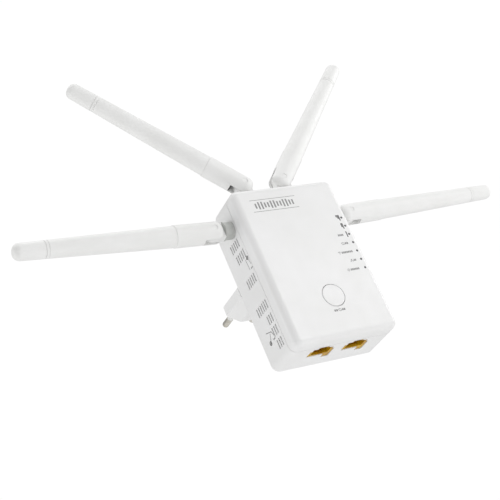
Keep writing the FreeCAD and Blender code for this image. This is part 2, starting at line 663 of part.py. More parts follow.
def power_supply():
    """Mains power board, its parts, the strips from the pins and the sheet in front of it."""
    board = box("power_blank", ("-{power_width}/2", "-({power_rear}+{board_thick})", "{power_low}"),
                ("{power_width}", "{board_thick}", "{power_high}-{power_low}"))
    node(board, "power_board")
    core = power_part("core_block", "-7", "52", "15", "17", "12")
    node(core, "mains_transformer")
    front = "-({power_rear}+{board_thick})"
    group("electrolytic_capacitors", [
        rod("bulk_one", ("-14.5", front + "-12.5", "62"), "5", "12.5"),
        rod("bulk_two", ("-14.5", front + "-12.5", "74"), "5", "12.5"),
        rod("output_one", ("15", front + "-11.5", "56"), "4", "11.5"),
        rod("output_two", ("15", front + "-11.5", "46"), "4", "11.5")])
    node(rod("fuse_tube", ("-19", front + "-2.4", "34"), "2.2", "8", "z"), "fuse")
    node(power_part("bridge_block", "-12", "34", "6.5", "8.5", "2.6"), "bridge_rectifier")
    node(power_part("controller_block", "-1", "42", "5", "5", "1.6"), "power_controller")
    node(rod("choke_drum", ("0", front + "-10", "74.5"), "4.5", "10"), "input_choke")
    node(box("header_block", ("6", "-{board_rear}", "25"),
             ("12", "{board_rear}-{power_rear}-{board_thick}", "2.6")), "board_header")
    node(box("sheet_block", ("-22", "-20", "29"), ("44", "0.3", "52")), "insulation_sheet")
    length = "{power_rear}+{plug_length}+{pad_out}-{pin_inside}"
    group("pin_contacts", [
        box("strip_%d" % i, ("-{plug_left}%s{pin_spacing}/2-1.2" % sign, "-{power_rear}", "{plug_level}-1.2"),
            ("2.4", length, "2.4")) for i, sign in enumerate("-+")])


# ---- antennas -----------------------------------------------------------------------------

# Name, the point of the case surface it stands on, and the turns of its socket and its sleeve.
ANTENNAS = [
    ("top_left", ("-{top_antenna_x}", "-{top_antenna_y}", "{case_height}"), "0", "-{top_left_tilt}"),
    ("top_right", ("{top_antenna_x}", "-{top_antenna_y}", "{case_height}"), "0", "{top_right_tilt}"),
    ("side_left", ("-{case_width}/2", "-{side_antenna_y}", "{side_antenna_z}"),
     "-90", "-90+{side_left_lift}"),
    ("side_right", ("{case_width}/2", "-{side_antenna_y}", "{side_antenna_z}"),
     "90", "90-{side_right_lift}"),
]


def pivot_point(name, foot):
    """The hinge point: straight out from the foot by pivot_out."""
    outward = {"top_left": ("0", "0", "1"), "top_right": ("0", "0", "1"),
               "side_left": ("-1", "0", "0"), "side_right": ("1", "0", "0")}[name]
    return tuple("%s+%s*{pivot_out}" % pair for pair in zip(foot, outward))


def antenna_socket(name, foot, turn):
    """Swivel socket: flange inside the wall, shaft, collar outside, tongue with the hinge bore."""
    body = new_body("antenna_%s_socket" % name, foot, CASE, Y_AXIS, turn)
    profile = new_sketch(body, "XZ_Plane")
    inner = "-({wall}+{socket_gap})"
    polygon(profile, [("0", "{lead_depth}"), ("0", "{collar_top}"), ("{collar_radius}", "{collar_top}"),
                      ("{collar_radius}", "{socket_gap}"), ("{shaft_radius}", "{socket_gap}"),
                      ("{shaft_radius}", inner), ("{flange_radius}", inner),
                      ("{flange_radius}", inner + "-{flange_thick}"),
                      ("{lead_bore}", inner + "-{flange_thick}"), ("{lead_bore}", "{lead_depth}")])
    revolve(body, profile)
    round_edges(body, "{collar_edge}", lambda edge: all_at(edge, "z", size("collar_top")))
    tongue = new_sketch(body, "XZ_Plane")
    rectangle(tongue, "-{tongue_round}", "{collar_top}-1", "{tongue_round}", "{pivot_out}+{tongue_round}")
    pad(body, tongue, "{tongue_thick}", middle=True)
    top = size("pivot_out") + size("tongue_round")
    round_edges(body, "{tongue_round}-0.1",
                lambda edge: runs_along(edge, Y_AXIS) and abs(edge.BoundBox.ZMax - top) < 1e-4)
    bore = new_sketch(body, "XZ_Plane")
    circle(bore, "0", "{pivot_out}", "{hinge_radius}+{hinge_gap}")
    pocket(body, bore, "{tongue_thick}+2", middle=True)


def antenna_knuckle(name, pivot, turn):
    """Lower sleeve: fork with two cheeks at the hinge, and a spigot for the upper sleeve."""
    body = new_body("antenna_%s_knuckle" % name, pivot, CASE, Y_AXIS, turn)
    profile = new_sketch(body, "XZ_Plane")
    top = "{parting}+{spigot_length}"
    polygon(profile, [("0", "-{fork_end}"), ("{knuckle_radius}", "-{fork_end}"),
                      ("{knuckle_radius}", "{parting}"), ("{spigot_radius}", "{parting}"),
                      ("{spigot_radius}", top), ("{knuckle_bore}", top),
                      ("{knuckle_bore}", "{fork_deep}+3"), ("0", "{fork_deep}+3")])
    revolve(body, profile)
    round_edges(body, "{fork_round}", lambda edge: all_at(edge, "z", -size("fork_end")))
    round_edges(body, "{groove_deep}", lambda edge: all_at(edge, "z", size("parting")) and
                edge.BoundBox.XMax > size("knuckle_radius") - 0.1)
    slot = new_sketch(body, "XZ_Plane")
    rectangle(slot, "-2*{fork_end}", "-2*{fork_end}", "2*{fork_end}", "{fork_deep}")
    pocket(body, slot, "{tongue_thick}+2*{fork_gap}", middle=True)
    bore = new_sketch(body, "XZ_Plane")
    circle(bore, "0", "0", "{hinge_radius}+{fit_gap}")
    pocket(body, bore, "3*{knuckle_radius}", middle=True)


def taper(along):
    """Outer radius of the upper sleeve at a distance from the hinge."""
    return "({sleeve_base}+({sleeve_end}-{sleeve_base})*(%s-{parting})/({antenna_reach}-{parting}))" % along


def antenna_sleeve(name, pivot, turn):
    """Upper sleeve: hollow taper with one ring groove near its end."""
    body = new_body("antenna_%s_sleeve" % name, pivot, CASE, Y_AXIS, turn)
    profile = new_sketch(body, "XZ_Plane")
    groove = "({cap_start}-{groove_back})"
    seat = "{parting}+{spigot_length}+0.2"
    polygon(profile, [("{spigot_radius}+{fit_gap}", "{parting}"), (taper("{parting}"), "{parting}"),
                      (taper(groove), groove),
                      (taper(groove) + "-{groove_deep}", groove + "+{groove_wide}/2"),
                      (taper(groove), groove + "+{groove_wide}"), (taper("{cap_start}"), "{cap_start}"),
                      ("{sleeve_bore}", "{cap_start}"), ("{sleeve_bore}", seat),
                      ("{spigot_radius}+{fit_gap}", seat)])
    revolve(body, profile)


def antenna_cap(name, pivot, turn):
    """End cap: spigot in the sleeve, ring groove where it meets the sleeve, rounded end."""
    body = new_body("antenna_%s_cap" % name, pivot, CASE, Y_AXIS, turn)
    profile = new_sketch(body, "XZ_Plane")
    start = "{cap_start}"
    polygon(profile, [("0", start + "-3"), ("{cap_spigot}", start + "-3"), ("{cap_spigot}", start),
                      (taper(start) + "-{groove_deep}", start), (taper(start), start + "+{groove_wide}/2"),
                      ("{sleeve_end}", "{antenna_reach}"), ("0", "{antenna_reach}")])
    revolve(body, profile)
    round_edges(body, "{cap_round}", lambda edge: all_at(edge, "z", size("antenna_reach")))


def antenna_radiator(name, pivot, turn):
    """Radiating element: a wire through the sleeve with a wider brass tube on it."""
    body = new_body("antenna_%s_radiator" % name, pivot, CASE, Y_AXIS, turn)
    profile = new_sketch(body, "XZ_Plane")
    low = "{fork_deep}+4"
    polygon(profile, [("0", low), ("{wire_radius}", low),
                      ("{wire_radius}", "30"), ("{radiator_radius}", "30"),
                      ("{radiator_radius}", "58"), ("{wire_radius}", "58"),
                      ("{wire_radius}", "92"), ("0", "92")])
    revolve(body, profile)


def hinge_pin(name, pivot):
    """Pin across the fork, a little short of the sleeve's width so that it sits sunk."""
    half = "({knuckle_radius}-{hinge_short})"
    base = (pivot[0], pivot[1] + "-" + half, pivot[2])
    node(rod("pin_" + name, base, "{hinge_radius}", "2*" + half), "antenna_%s_pin" % name)


def antennas():
    for name, foot, socket_turn, sleeve_turn in ANTENNAS:
        pivot = pivot_point(name, foot)
        antenna_socket(name, foot, socket_turn)
        hinge_pin(name, pivot)
        antenna_knuckle(name, pivot, sleeve_turn)
        antenna_sleeve(name, pivot, sleeve_turn)
        antenna_cap(name, pivot, sleeve_turn)
        antenna_radiator(name, pivot, sleeve_turn)


# ---- build, check, write ------------------------------------------------------------------

def check_document():
    """Stops when any object failed, or when a sub-part is not a valid solid."""
    for thing in DOC.Objects:
        if "Invalid" in thing.State or "Error" in thing.State:
            raise RuntimeError("%s failed: %s" % (thing.Label, thing.State))
    for thing in NODES:
        if thing.Shape.isNull() or not thing.Shape.isValid() or not thing.Shape.Solids:
            raise RuntimeError("%s has no valid solid" % thing.Label)


def write_parts():
    os.makedirs("parts", exist_ok=True)
    for thing in NODES:
        thing.Shape.exportStep("parts/%s.step" % thing.Label)
        print("%-28s %8.1f mm3  %d solids" % (thing.Label, thing.Shape.Volume, len(thing.Shape.Solids)))


def main():
    fill_sheet()
    front_cover()
    rear_housing()
    case_screws()
    rating_label()
    plug_body()
    plug_pins()
    wps_button()
    tact_switch()
    reset_switch()
    light_guide()
    status_leds()
    for side, sign in (("left", "-"), ("right", "")):
        lan_socket(side, sign)
    lan_contacts()
    main_board()
    board_parts()
    antenna_leads()
    power_supply()
    antennas()
    DOC.recompute()
    check_document()
    write_parts()


main()
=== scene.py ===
"""Looks of the plug-in wifi range extender: fine parts, printing, materials, floor, light, camera.

Everything is in metres in the part's own frame: +Z up and the front face towards -Y. Places come
from the boxes of the CAD nodes. Small dimensions are given in millimetres, as multiples of MM.
"""
import bmesh
import bpy
import json
import math
from mathutils import Matrix, Vector


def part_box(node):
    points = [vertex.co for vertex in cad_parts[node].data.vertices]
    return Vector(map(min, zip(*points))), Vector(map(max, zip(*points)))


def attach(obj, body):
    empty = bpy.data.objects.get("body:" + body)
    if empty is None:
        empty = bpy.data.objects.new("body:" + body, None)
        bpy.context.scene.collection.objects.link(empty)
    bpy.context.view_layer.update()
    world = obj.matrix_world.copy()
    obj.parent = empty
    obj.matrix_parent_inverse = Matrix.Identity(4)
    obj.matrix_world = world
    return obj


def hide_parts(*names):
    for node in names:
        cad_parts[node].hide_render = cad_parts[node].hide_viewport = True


MM = 0.001
X, Y, Z = Vector((1, 0, 0)), Vector((0, 1, 0)), Vector((0, 0, 1))
ANTENNA_COLOR = (0.88, 0.88, 0.872)
LIGHTS = 7
WIRES = 8                   # contact wires in a network socket

# Sizes in millimetres
LIGHT_HIGH = 1.0            # a status light on the board
COLLAR_REACH = 5.9          # from the case wall to just past a swivel collar
WIRE_PITCH = 1.02
WIRE_RADIUS = 0.22
INK_THICK = 0.02

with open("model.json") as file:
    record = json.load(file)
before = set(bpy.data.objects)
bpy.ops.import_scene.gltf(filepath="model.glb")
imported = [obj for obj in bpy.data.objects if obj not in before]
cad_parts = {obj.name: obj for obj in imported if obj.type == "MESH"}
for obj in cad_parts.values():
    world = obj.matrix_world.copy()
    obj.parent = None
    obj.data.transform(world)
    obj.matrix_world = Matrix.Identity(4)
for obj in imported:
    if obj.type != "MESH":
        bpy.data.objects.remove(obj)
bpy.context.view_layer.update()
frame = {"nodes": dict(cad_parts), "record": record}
cover_low, cover_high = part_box("front_cover")
rear_low, rear_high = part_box("rear_housing")
case_middle = (cover_low.x + cover_high.x) / 2
front_corner = Vector((case_middle, cover_low.y, cover_low.z))
left_corner = Vector((rear_low.x, cover_low.y, rear_low.z))


# ---- node helpers -------------------------------------------------------------------------

def new_material(name, color, roughness, **values):
    """A Principled material; values are other sockets of the shader, with _ for a space."""
    material = bpy.data.materials.new(name)
    material.use_nodes = True
    shader = material.node_tree.nodes["Principled BSDF"]
    shader.inputs["Base Color"].default_value = (*color, 1)
    shader.inputs["Roughness"].default_value = roughness
    for key, value in values.items():
        shader.inputs[key.replace("_", " ")].default_value = value
    return material


def parts_of(material):
    """Node tree of a material, and its shader."""
    tree = material.node_tree
    return tree, tree.nodes["Principled BSDF"]


def noise(tree, scale, detail=3.0, stretch=(1, 1, 1)):
    """Noise in object space, with scale in features per metre; returns its value socket."""
    place = tree.nodes.new("ShaderNodeTexCoord")
    mapping = tree.nodes.new("ShaderNodeMapping")
    mapping.inputs["Scale"].default_value = stretch
    texture = tree.nodes.new("ShaderNodeTexNoise")
    texture.inputs["Scale"].default_value = scale
    texture.inputs["Detail"].default_value = detail
    tree.links.new(place.outputs["Object"], mapping.inputs["Vector"])
    tree.links.new(mapping.outputs["Vector"], texture.inputs["Vector"])
    return texture.outputs["Fac"]


def remap(tree, value, low, high, start=0.35, end=0.65):
    """Stretches the middle of a noise to the range low to high."""
    node = tree.nodes.new("ShaderNodeMapRange")
    for name, number in (("From Min", start), ("From Max", end), ("To Min", low), ("To Max", high)):
        node.inputs[name].default_value = number
    tree.links.new(value, node.inputs["Value"])
    return node.outputs["Result"]


def blend_colors(tree, factor, first, second):
    """Mixes two colours, each a tuple or a socket, by a factor socket."""
    mix = tree.nodes.new("ShaderNodeMix")
    mix.data_type = "RGBA"
    tree.links.new(factor, mix.inputs["Factor"])
    for socket, color in ((mix.inputs[6], first), (mix.inputs[7], second)):
        if isinstance(color, tuple):
            socket.default_value = (*color, 1)
        else:
            tree.links.new(color, socket)
    return mix.outputs[2]


def compute(tree, operation, first, second):
    """Maths node on a socket and a number, or on two sockets; returns its value socket."""
    node = tree.nodes.new("ShaderNodeMath")
    node.operation = operation
    tree.links.new(first, node.inputs[0])
    if isinstance(second, float):
        node.inputs[1].default_value = second
    else:
        tree.links.new(second, node.inputs[1])
    return node.outputs["Value"]


def set_bump(material, height, depth, bevel=0.0):
    """Bump from a height socket, over edges softened by a bevel radius in metres."""
    tree, shader = parts_of(material)
    node = tree.nodes.new("ShaderNodeBump")
    node.inputs["Distance"].default_value = depth
    tree.links.new(height, node.inputs["Height"])
    if bevel > 0:
        soft = tree.nodes.new("ShaderNodeBevel")
        soft.samples = 4
        soft.inputs["Radius"].default_value = bevel
        tree.links.new(soft.outputs["Normal"], node.inputs["Normal"])
    tree.links.new(node.outputs["Normal"], shader.inputs["Normal"])


def vary(material, second, patch, rough, scuff=0.0):
    """Varies the colour in patches towards a second colour, and the roughness by its own noise."""
    tree, shader = parts_of(material)
    first = tuple(shader.inputs["Base Color"].default_value)[:3]
    color = blend_colors(tree, remap(tree, noise(tree, patch), 0, 1), first, second)
    tree.links.new(color, shader.inputs["Base Color"])
    middle = shader.inputs["Roughness"].default_value
    spread = remap(tree, noise(tree, patch * 4), middle - rough, middle + rough)
    if scuff > 0:
        marks = remap(tree, noise(tree, 90, 8, (1, 6, 1)), 0, scuff, 0.62, 0.75)
        spread = compute(tree, "ADD", spread, marks)
    tree.links.new(spread, shader.inputs["Roughness"])


def grain(material, scale, depth, bevel=0.0, detail=4.0, stretch=(1, 1, 1)):
    """Fine bump from noise, for moulding texture or turning marks."""
    tree, _ = parts_of(material)
    set_bump(material, noise(tree, scale, detail, stretch), depth, bevel)


# ---- materials ----------------------------------------------------------------------------

def shell_white():
    """Bright white ABS with a fine moulded texture and faint scuffs."""
    material = new_material("shell_white", (0.87, 0.87, 0.87), 0.36, Coat_Weight=0.15, Coat_Roughness=0.2)
    vary(material, (0.84, 0.84, 0.835), 35, 0.05, 0.15)
    grain(material, 5200, 0.000012, 0.00025)
    return material


def antenna_white():
    """Softer white plastic of the antennas, a little warmer than the case."""
    material = new_material("antenna_white", ANTENNA_COLOR, 0.45)
    vary(material, (0.85, 0.85, 0.838), 60, 0.06, 0.1)
    grain(material, 4200, 0.000016, 0.0003)
    return material


def nickel():
    """Bright nickel with fine turning marks and rubbed patches."""
    material = new_material("nickel", (0.72, 0.70, 0.64), 0.22, Metallic=1.0)
    vary(material, (0.55, 0.52, 0.45), 400, 0.08)
    grain(material, 1500, 0.00001, 0.0001, 3, (1, 12, 1))
    return material


def brass():
    material = new_material("brass", (0.78, 0.55, 0.22), 0.3, Metallic=1.0)
    vary(material, (0.55, 0.36, 0.14), 300, 0.1)
    grain(material, 2500, 0.000008)
    return material


def sleeve_white():
    material = new_material("sleeve_white", (0.82, 0.82, 0.81), 0.55)
    vary(material, (0.76, 0.76, 0.74), 250, 0.06)
    grain(material, 3500, 0.00002, 0.0001)
    return material


def screw_steel():
    material = new_material("screw_steel", (0.50, 0.51, 0.53), 0.35, Metallic=1.0)
    vary(material, (0.34, 0.34, 0.36), 900, 0.12)
    grain(material, 2200, 0.00001, 0.0001)
    return material


def label_film():
    material = new_material("label_film", (0.74, 0.75, 0.77), 0.4)
    vary(material, (0.70, 0.71, 0.72), 120, 0.08)
    grain(material, 900, 0.00001)
    return material


def clear_guide():
    """Smoked clear acrylic of the light pipes."""
    material = new_material("clear_guide", (0.10, 0.10, 0.11), 0.25, Transmission_Weight=0.3, IOR=1.49)
    vary(material, (0.06, 0.06, 0.07), 900, 0.06)
    grain(material, 2500, 0.000006)
    return material


def led_body():
    material = new_material("led_body", (0.80, 0.78, 0.60), 0.3)
    vary(material, (0.70, 0.66, 0.40), 900, 0.05)
    grain(material, 3000, 0.000005)
    return material


def jack_amber():
    """Translucent amber plastic of the network sockets."""
    material = new_material("jack_amber", (0.62, 0.38, 0.010), 0.3, Subsurface_Weight=0.12,
                            Subsurface_Radius=(0.002, 0.0012, 0.0003), Subsurface_Scale=1.0,
                            Specular_IOR_Level=0.2)
    vary(material, (0.42, 0.21, 0.006), 180, 0.08)
    grain(material, 2600, 0.00001, 0.0001)
    return material


def gold_contact():
    material = new_material("gold_contact", (0.92, 0.62, 0.20), 0.2, Metallic=1.0)
    vary(material, (0.75, 0.46, 0.12), 700, 0.06)
    grain(material, 3000, 0.000004)
    return material


def tin_plate():
    material = new_material("tin_plate", (0.62, 0.62, 0.60), 0.32, Metallic=1.0)
    vary(material, (0.48, 0.48, 0.47), 200, 0.1)
    grain(material, 800, 0.00001, 0, 4, (1, 1, 8))
    return material


def sink_aluminium():
    material = new_material("sink_aluminium", (0.68, 0.69, 0.70), 0.38, Metallic=1.0)
    vary(material, (0.55, 0.56, 0.57), 260, 0.08)
    grain(material, 1600, 0.00001, 0, 4, (1, 1, 10))
    return material


def board_green():
    """Green solder mask over paler copper tracks."""
    material = new_material("board_green", (0.02, 0.16, 0.06), 0.35)
    tree, shader = parts_of(material)
    tracks = remap(tree, noise(tree, 500, 1, (1, 1, 6)), 0, 1, 0.5, 0.54)
    color = blend_colors(tree, tracks, (0.02, 0.16, 0.06), (0.06, 0.30, 0.12))
    tree.links.new(color, shader.inputs["Base Color"])
    set_bump(material, tracks, 0.00003)
    return material


def sheet_film():
    material = new_material("sheet_film", (0.80, 0.76, 0.62), 0.45)
    vary(material, (0.72, 0.68, 0.52), 90, 0.06)
    grain(material, 1200, 0.00001)
    return material


def fuse_body():
    material = new_material("fuse_body", (0.80, 0.77, 0.70), 0.3)
    vary(material, (0.66, 0.62, 0.54), 400, 0.06)
    grain(material, 1500, 0.00001)
    return material


def capacitor_sleeve():
    material = new_material("capacitor_sleeve", (0.03, 0.05, 0.16), 0.3)
    vary(material, (0.02, 0.03, 0.10), 200, 0.06)
    grain(material, 1200, 0.00001)
    return material


def transformer_tape():
    material = new_material("transformer_tape", (0.72, 0.55, 0.06), 0.4)
    vary(material, (0.60, 0.42, 0.04), 220, 0.06)
    grain(material, 900, 0.00004, 0, 2, (1, 1, 8))
    return material


def ferrite():
    material = new_material("ferrite", (0.045, 0.045, 0.05), 0.6)
    vary(material, (0.07, 0.07, 0.07), 700, 0.1)
    grain(material, 2200, 0.00005)
    return material


def lead_jacket():
    material = new_material("lead_jacket", (0.03, 0.03, 0.035), 0.4)
    vary(material, (0.05, 0.05, 0.05), 500, 0.08)
    grain(material, 2000, 0.00001)
    return material


def beyond_case(tree, distance):
    """Socket that is 1 further than a distance from the case, above it or beside it, and 0 elsewhere."""
    place = tree.nodes.new("ShaderNodeTexCoord")
    split = tree.nodes.new("ShaderNodeSeparateXYZ")
    tree.links.new(place.outputs["Object"], split.inputs["Vector"])
    left = compute(tree, "LESS_THAN", split.outputs["X"], rear_low.x - distance)
    right = compute(tree, "GREATER_THAN", split.outputs["X"], rear_high.x + distance)
    above = compute(tree, "GREATER_THAN", split.outputs["Z"], rear_high.z + distance)
    return compute(tree, "MAXIMUM", compute(tree, "MAXIMUM", left, right), above)


def joint_grey():
    """Grey on the swivel collars as painted shade, on plastic as white as the antennas; white on the
    tongue beyond each collar.
    """
    # The grey base colour is painted shade: the white collar plastic is darkened as if it lay in shadow.
    material = new_material("joint_grey", (0.55, 0.56, 0.54), 0.5)
    vary(material, (0.50, 0.51, 0.49), 200, 0.06, 0.1)
    grain(material, 4000, 0.00002, 0.0002)
    tree, shader = parts_of(material)
    collar = shader.inputs["Base Color"].links[0].from_socket
    # Painted shade on the collars up to the reach, the antennas' own white on the tongue beyond.
    color = blend_colors(tree, beyond_case(tree, COLLAR_REACH * MM), collar, ANTENNA_COLOR)
    tree.links.new(color, shader.inputs["Base Color"])
    return material


def component_black():
    material = new_material("component_black", (0.025, 0.025, 0.027), 0.5)
    vary(material, (0.04, 0.04, 0.04), 600, 0.1)
    grain(material, 3500, 0.00002)
    return material


def ink(name, color):
    """Printing ink: matt, with slightly uneven cover."""
    material = new_material(name, color, 0.6)
    vary(material, tuple(min(1.0, c * 1.35) for c in color), 1500, 0.08)
    grain(material, 6000, 0.000006)
    return material


SURFACES = (shell_white, antenna_white, nickel, brass, sleeve_white, screw_steel, label_film,
            clear_guide, led_body, jack_amber, gold_contact, tin_plate, sink_aluminium, board_green,
            sheet_film, fuse_body, capacitor_sleeve, transformer_tape, ferrite, lead_jacket,
            joint_grey, component_black)


def dress_frame(materials):
    """Gives each CAD node the material of its slot."""
    for entry in frame["record"]["subparts"]:
        node = frame["nodes"][entry["node"]]
        material = materials[entry["material_slot"]]
        if not node.material_slots:
            node.data.materials.append(material)
        for holder in node.material_slots:
            holder.material = material


# ---- printing -----------------------------------------------------------------------------
# A printed shape is a list of flat polygons in millimetres, each a list of (across, up) points.

def stroke(start, end, width):
    """Straight stroke with square ends."""
    along = Vector(end) - Vector(start)
    side = Vector((-along.y, along.x)).normalized() * width / 2
    return [[Vector(start) - side, Vector(end) - side, Vector(end) + side, Vector(start) + side]]


def path(points, width):
    """Strokes from point to point."""
    return [shape for start, end in zip(points, points[1:]) for shape in stroke(start, end, width)]


def arc(middle, radius, width, start=0.0, end=360.0, steps=24):
    """Part of a ring, between two angles in degrees."""
    angles = [math.radians(start + (end - start) * i / steps) for i in range(steps + 1)]
    rays = [Vector((math.cos(angle), math.sin(angle))) for angle in angles]
    inner, outer = radius - width / 2, radius + width / 2
    centre = Vector(middle)
    return [[centre + a * inner, centre + a * outer, centre + b * outer, centre + b * inner]
            for a, b in zip(rays, rays[1:])]


def disc(middle, radius):
    corners = 20
    centre = Vector(middle)
    angles = [2 * math.pi * i / corners for i in range(corners)]
    return [[centre + Vector((math.cos(a), math.sin(a))) * radius for a in angles]]


def moved(shapes, across, up):
    """The same shapes at another place."""
    return [[point + Vector((across, up)) for point in shape] for shape in shapes]


def printed(name, shapes, corner, right, up, material):
    """Lays flat shapes on a plane of the case as a thin layer of ink."""
    mesh = bmesh.new()
    normal = right.cross(up)
    for shape in shapes:
        points = [corner + right * (p.x * MM) + up * (p.y * MM) for p in shape]
        low = [mesh.verts.new(p) for p in points]
        high = [mesh.verts.new(p + normal * (INK_THICK * MM)) for p in points]
        mesh.faces.new(high)
        count = len(points)
        for i in range(count):
            j = (i + 1) % count
            mesh.faces.new((low[i], low[j], high[j], high[i]))
    finish_mesh(name, mesh, material, "case")


def finish_mesh(name, mesh, material, body):
    """Makes an object of a mesh, and lets it ride a body."""
    bmesh.ops.recalc_face_normals(mesh, faces=mesh.faces)
    data = bpy.data.meshes.new(name)
    mesh.to_mesh(data)
    mesh.free()
    data.materials.append(material)
    piece = bpy.data.objects.new(name, data)
    bpy.context.scene.collection.objects.link(piece)
    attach(piece, body)
    return piece


def dashes(start, end, up=0.0, pitch=1.1, width=1.25):
    """Row of upright blocks, with narrow gaps, from start to end."""
    count = max(1, round((end - start) / pitch))
    step = (end - start) / count
    return [shape for i in range(count)
            for shape in stroke((start + i * step, up), (start + i * step + 0.78 * step, up), width)]


def pair_of_arrows(radius):
    """Two arrows that chase each other round a circle."""
    shapes = []
    for turn in (20, 200):
        shapes += arc((0, 0), radius, 0.28, turn, turn + 125, 10)
        tip = math.radians(turn + 150)
        base = Vector((math.cos(tip - 0.5), math.sin(tip - 0.5))) * radius
        along = Vector((-base.y, base.x)).normalized()
        side = base.normalized() * 0.42
        shapes.append([base - side, base + along * 0.7, base + side])
    return shapes


def radio_waves(radius):
    """Dot with two arcs over it."""
    shapes = disc((0, -radius * 0.75), 0.25)
    for step in (0.9, 1.6):
        shapes += arc((0, -radius * 0.75), radius * step, 0.28, 50, 130, 10)
    return shapes


def network_tree():
    """One box above two, joined by lines."""
    shapes = stroke((-0.35, 0.55), (0.35, 0.55), 0.55)
    for side in (-1, 1):
        shapes += stroke((side * 0.75 - 0.3, -0.55), (side * 0.75 + 0.3, -0.55), 0.5)
    shapes += path([(-0.75, -0.3), (-0.75, 0), (0.75, 0), (0.75, -0.3)], 0.16)
    return shapes + stroke((0, 0), (0, 0.4), 0.16)


def power_mark(radius):
    """Open ring with a stroke in its gap."""
    return arc((0, 0), radius, 0.28, 120, 420, 20) + stroke((0, 0.15), (0, radius * 1.35), 0.28)


def front_mark(material):
    """Plain ornament in the upper left of the front: a wave of bars between two rules."""
    rule, gap = 15.5, 3.9
    bars, pitch = 13, 2.1
    shapes = []
    for level in (-gap, gap):
        shapes += stroke((-rule, level), (rule, level), 0.28)
    for i in range(bars):
        across = (i - (bars - 1) / 2) * pitch
        high = 1.1 + 1.5 * abs(math.sin(i * math.pi / 4 + 0.4))
        shapes += stroke((across, -high), (across, high), 1.0)
    printed("front_mark", moved(shapes, -10.0, 89.4), front_corner, X, Z, material)


def light_positions():
    """Height of each status light above the underside, from the top, in millimetres."""
    low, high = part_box("status_leds")
    half = LIGHT_HIGH / 2 * MM
    pitch = (high.z - low.z - 2 * half) / (LIGHTS - 1)
    return [(high.z - half - i * pitch - front_corner.z) / MM for i in range(LIGHTS)]


def light_marks(dark, pale):
    """Pictograms to the left of the status lights: signal bars at the top, small signs below."""
    heights = light_positions()
    signals = []
    for bars, height in zip((3, 2, 1), heights):
        top = height + 2.0
        for i in range(bars):
            across = 28.7 - 0.85 * i
            signals += stroke((across, top - 3.9 + 1.2 * i), (across, top), 0.68)
    printed("signal_marks", signals, front_corner, X, Z, dark)
    rows = [(22.2, 26.2, []), (22.6, 26.8, pair_of_arrows(0.75)), (17.4, 27.2, radio_waves(0.85)),
            (23.2, 26.8, network_tree()), (18.2, 26.2, power_mark(0.7))]
    shapes = []
    for (start, end, sign), height in zip(rows, heights[2:]):
        shapes += moved(sign, start + 0.4, height)
        shapes += dashes(start + (1.8 if sign else 0), end, height)
    printed("light_marks", shapes, front_corner, X, Z, pale)


def button_mark(material):
    """Arrows between two rows of blocks, under the push button."""
    shapes = pair_of_arrows(0.75)
    shapes += dashes(-3.8, -1.2) + dashes(1.4, 3.8)
    printed("button_mark", moved(shapes, 0.9, 16.2), front_corner, X, Z, material)


def pinhole_marks(material, dark):
    """Ring round each of the two pinholes in the left wall, with fine lines and dashes beside it."""
    upper, lower = (10.9, 63.0), (23.3, 14.0)
    shapes = path([(12.1, 62.9), (13.5, 62.7), (13.2, 56.1)], 0.42)
    shapes += path([(10.5, 61.8), (9.8, 58.3)], 0.42)
    shapes += dashes(9.4, 11.8, 56.2, 0.8, 0.9)
    shapes += path([(24.1, 20.5), (18.5, 18.9), (17.2, 16.1)], 0.5)
    shapes += path([(20.3, 18.6), (22.4, 14.9)], 0.5)
    shapes += dashes(17.0, 19.6, 14.3, 0.8, 0.9)
    rings = arc(upper, 1.05, 0.4) + arc(lower, 1.1, 0.5)
    for name, marks, finish in (("pinhole_marks", shapes, material), ("pinhole_rings", rings, dark)):
        mirrored = [[Vector((-p.x, p.y)) for p in shape] for shape in marks]
        printed(name, mirrored, left_corner, -Y, Z, finish)


def label_marks(material):
    """Thin border, plain rules and a double square on the rear label."""
    low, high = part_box("rating_label")
    wide, tall = (high.x - low.x) / MM, (high.z - low.z) / MM
    shapes = path([(1, 1), (wide - 1, 1), (wide - 1, tall - 1), (1, tall - 1), (1, 1)], 0.2)
    for i in range(7):
        long = wide - 4 - 3.0 * (i % 3)
        shapes += stroke((2, tall - 5 - 2.2 * i), (2 + long, tall - 5 - 2.2 * i), 0.4)
    shapes += path([(5, 5), (11, 5), (11, 11), (5, 11), (5, 5)], 0.3)
    shapes += path([(6.5, 6.5), (9.5, 6.5), (9.5, 9.5), (6.5, 9.5), (6.5, 6.5)], 0.3)
    printed("label_marks", shapes, Vector((high.x, high.y, low.z)), -X, Z, material)


# ---- network socket contacts --------------------------------------------------------------

def contact_wires(side, material):
    """Eight sprung gold wires that lean from the rear wall of a jack into its cavity."""
    low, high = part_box("lan_socket_" + side)
    middle = (low.x + high.x) / 2
    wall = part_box("lan_contacts")[1].y
    curve = bpy.data.curves.new("contact_wires_" + side, "CURVE")
    curve.dimensions = "3D"
    curve.bevel_depth = WIRE_RADIUS * MM
    curve.bevel_resolution = 2
    profile = [(0.3, 1.2), (0.35, 2.4), (0.9, 3.6), (2.2, 7.0), (3.0, 10.0), (3.1, 12.2), (2.6, 13.4)]
    for i in range(WIRES):
        across = middle + (i - (WIRES - 1) / 2) * WIRE_PITCH * MM
        spline = curve.splines.new("NURBS")
        spline.points.add(len(profile) - 1)
        for point, (out, deep) in zip(spline.points, profile):
            point.co = (across, wall - out * MM, low.z + deep * MM, 1)
        spline.order_u = 3
        spline.use_endpoint_u = True
    curve.materials.append(material)
    piece = bpy.data.objects.new("contact_wires_" + side, curve)
    bpy.context.scene.collection.objects.link(piece)
    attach(piece, "case")
    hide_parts("lan_contacts")


# ---- hinge pads ---------------------------------------------------------------------------

def antenna_axis(name):
    """Hinge point of an antenna, and the direction from it to the tip."""
    joints = {joint["name"]: joint for joint in frame["record"]["behaviour"]["joints"]}
    pivot = Vector(joints[name + "_tilt"]["pos_m"])
    low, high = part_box("antenna_%s_sleeve" % name)
    return pivot, ((low + high) / 2 - pivot).normalized()


